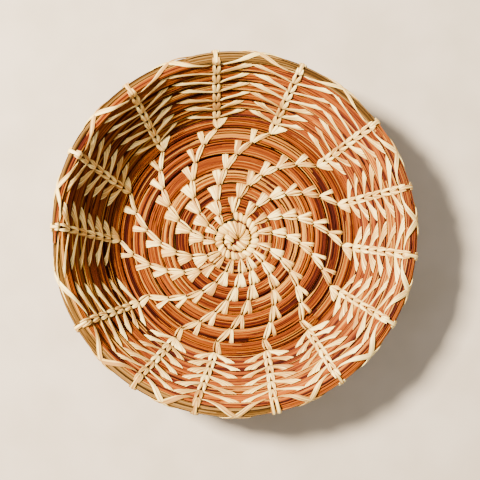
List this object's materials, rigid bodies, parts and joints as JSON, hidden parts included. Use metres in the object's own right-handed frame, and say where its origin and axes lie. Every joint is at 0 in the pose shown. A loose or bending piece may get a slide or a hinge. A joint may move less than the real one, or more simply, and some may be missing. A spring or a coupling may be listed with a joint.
{
  "type": "coiled pine needle basket",
  "caption": "Round coiled basket of pine needles with a flat base and a flared wall, sewn with pale raffia in spokes of V stitches that curve out from a wrapped centre.",
  "frame": {"origin": "on the table, under the middle of the rim", "axes": "+Z up out of the bowl, +X to the right and +Y up in the picture"},
  "size_m": [0.2465, 0.2471, 0.0667],
  "materials": {
    "needles": "waxy, streaked",
    "pale_needles": "waxy, streaked",
    "raffia": "matt, fibrous"
  },
  "bodies": {
    "root": {"wrapped_start": "raffia", "base_coil": "needles", "wall_coil": "needles", "rim_coil": "pale_needles", "base_stitch_01": "raffia", "base_stitch_02": "raffia", "base_stitch_03": "raffia", "base_stitch_04": "raffia", "base_stitch_05": "raffia", "base_stitch_06": "raffia", "base_stitch_07": "raffia", "base_stitch_08": "raffia", "base_stitch_09": "raffia", "base_stitch_10": "raffia", "base_stitch_11": "raffia", "base_stitch_12": "raffia", "base_stitch_13": "raffia", "base_stitch_14": "raffia", "wall_stitch_01": "raffia", "wall_stitch_02": "raffia", "wall_stitch_03": "raffia", "wall_stitch_04": "raffia", "wall_stitch_05": "raffia", "wall_stitch_06": "raffia", "wall_stitch_07": "raffia", "wall_stitch_08": "raffia", "wall_stitch_09": "raffia", "wall_stitch_10": "raffia", "wall_stitch_11": "raffia", "wall_stitch_12": "raffia", "wall_stitch_13": "raffia", "wall_stitch_14": "raffia"}
  },
  "joints": []
}
